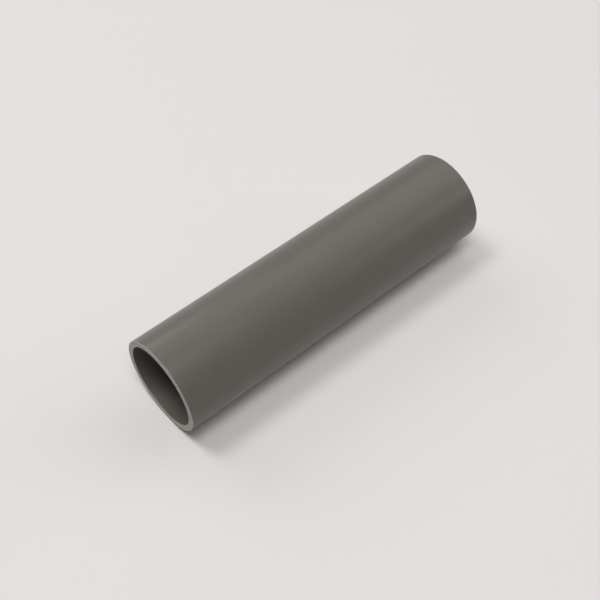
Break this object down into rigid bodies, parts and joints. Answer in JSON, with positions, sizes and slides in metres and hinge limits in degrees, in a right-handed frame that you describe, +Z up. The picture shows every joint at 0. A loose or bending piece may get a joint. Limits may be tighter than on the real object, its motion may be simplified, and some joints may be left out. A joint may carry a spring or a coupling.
{
  "type": "pvc pipe",
  "caption": "Short cut length of grey rigid PVC pipe: a straight round tube with a plain through bore and square sawn ends, lying on its side.",
  "frame": {"origin": "on the ground under the middle of the pipe, where the lying pipe touches it", "axes": "+X along the pipe's axis, +Z up; the pipe is a turned form, so +Y is any level direction square to the axis"},
  "size_m": [0.227, 0.0603, 0.0603],
  "materials": {
    "rigid_pvc": "satin"
  },
  "bodies": {
    "root": {"pipe": "rigid_pvc"}
  },
  "joints": []
}
